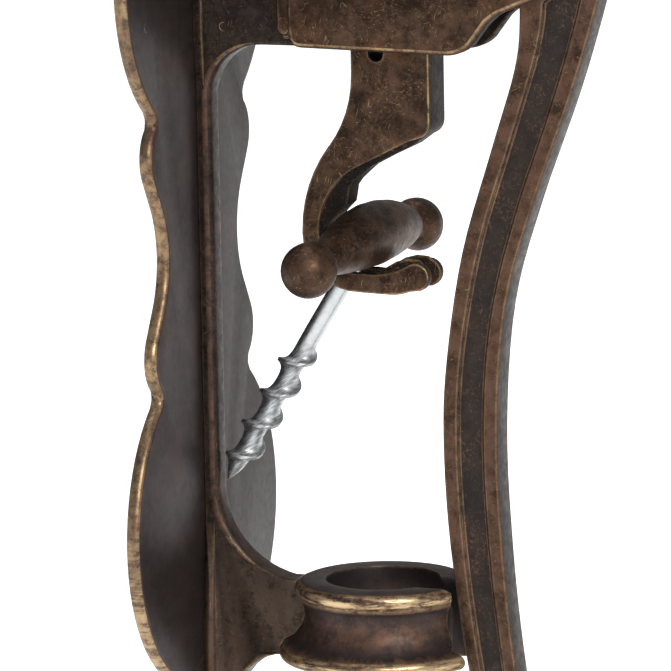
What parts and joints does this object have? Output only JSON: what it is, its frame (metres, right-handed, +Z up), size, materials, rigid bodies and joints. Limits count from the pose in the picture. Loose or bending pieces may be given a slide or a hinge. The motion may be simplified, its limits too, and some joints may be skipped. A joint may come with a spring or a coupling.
{
  "type": "lever corkscrew",
  "caption": "Wall-mounted lever corkscrew: scalloped back plate, C-frame with slotted bottle collar, geared lever and ram with a claw that holds a separate T-handled corkscrew.",
  "frame": {"origin": "centre of the wall plate's back face, level with the plate's waist", "axes": "+Y into the wall, -Y towards the user, +Z up, X across the plate"},
  "size_m": [0.087, 0.1075, 0.2844],
  "materials": {
    "bronze_patina": "antique bronze patina on cast metal, satin, worn golden along edges",
    "bronze_dark": "dark antique bronze patina on cast metal, satin",
    "bronze_lever": "reddish antique bronze patina with fine scratches, satin",
    "steel_dark": "browned steel fasteners and gear",
    "steel_bright": "bright zinc plated steel",
    "brass_bearing": "plain bearing bronze, machined"
  },
  "bodies": {
    "frame": {"wall_plate": "bronze_patina", "c_frame": "bronze_dark", "frame_screws": "steel_dark", "bottle_collar": "bronze_patina", "collar_screw": "steel_dark", "left_side_cover": "bronze_lever", "right_side_cover": "bronze_lever", "cover_screws": "steel_dark", "cover_nuts": "steel_dark", "cover_spacer": "steel_dark", "top_cap": "bronze_lever", "top_cap_screws": "steel_dark", "rear_guide_strip": "brass_bearing", "front_guide_block": "bronze_dark", "pivot_bolt": "steel_dark", "pivot_washers": "steel_dark", "pivot_nut": "steel_dark"},
    "lever": {"lever": "bronze_lever", "lever_bushing": "brass_bearing", "gear_sector": "steel_dark", "sector_pins": "steel_dark", "lever_knob": "bronze_lever", "knob_pin": "steel_dark"},
    "ram": {"ram": "bronze_lever", "ram_stop_pin": "steel_dark"},
    "corkscrew": {"corkscrew_handle": "bronze_lever", "corkscrew_worm": "steel_bright", "corkscrew_pin": "steel_bright"}
  },
  "joints": [
    {"name": "lever_pivot", "type": "hinge", "parent": "frame", "child": "lever", "pos_m": [0, -0.081, 0.086], "axis": [-1, 0, 0], "range_deg": [0, 126]},
    {"name": "ram_slide", "type": "slide", "parent": "frame", "child": "ram", "axis": [0, 0, -1], "range_m": [0, 0.0462]},
    {"name": "corkscrew_swing", "type": "hinge", "parent": "ram", "child": "corkscrew", "pos_m": [0, -0.0452, 0.0034], "axis": [-1, 0, 0], "range_deg": [0, 104]}
  ],
  "couplings": [
    {"joint": "ram_slide", "follows": "lever_pivot", "m_per_rad": 0.021},
    {"joint": "corkscrew_swing", "follows": "lever_pivot", "ratio": 0.825}
  ]
}
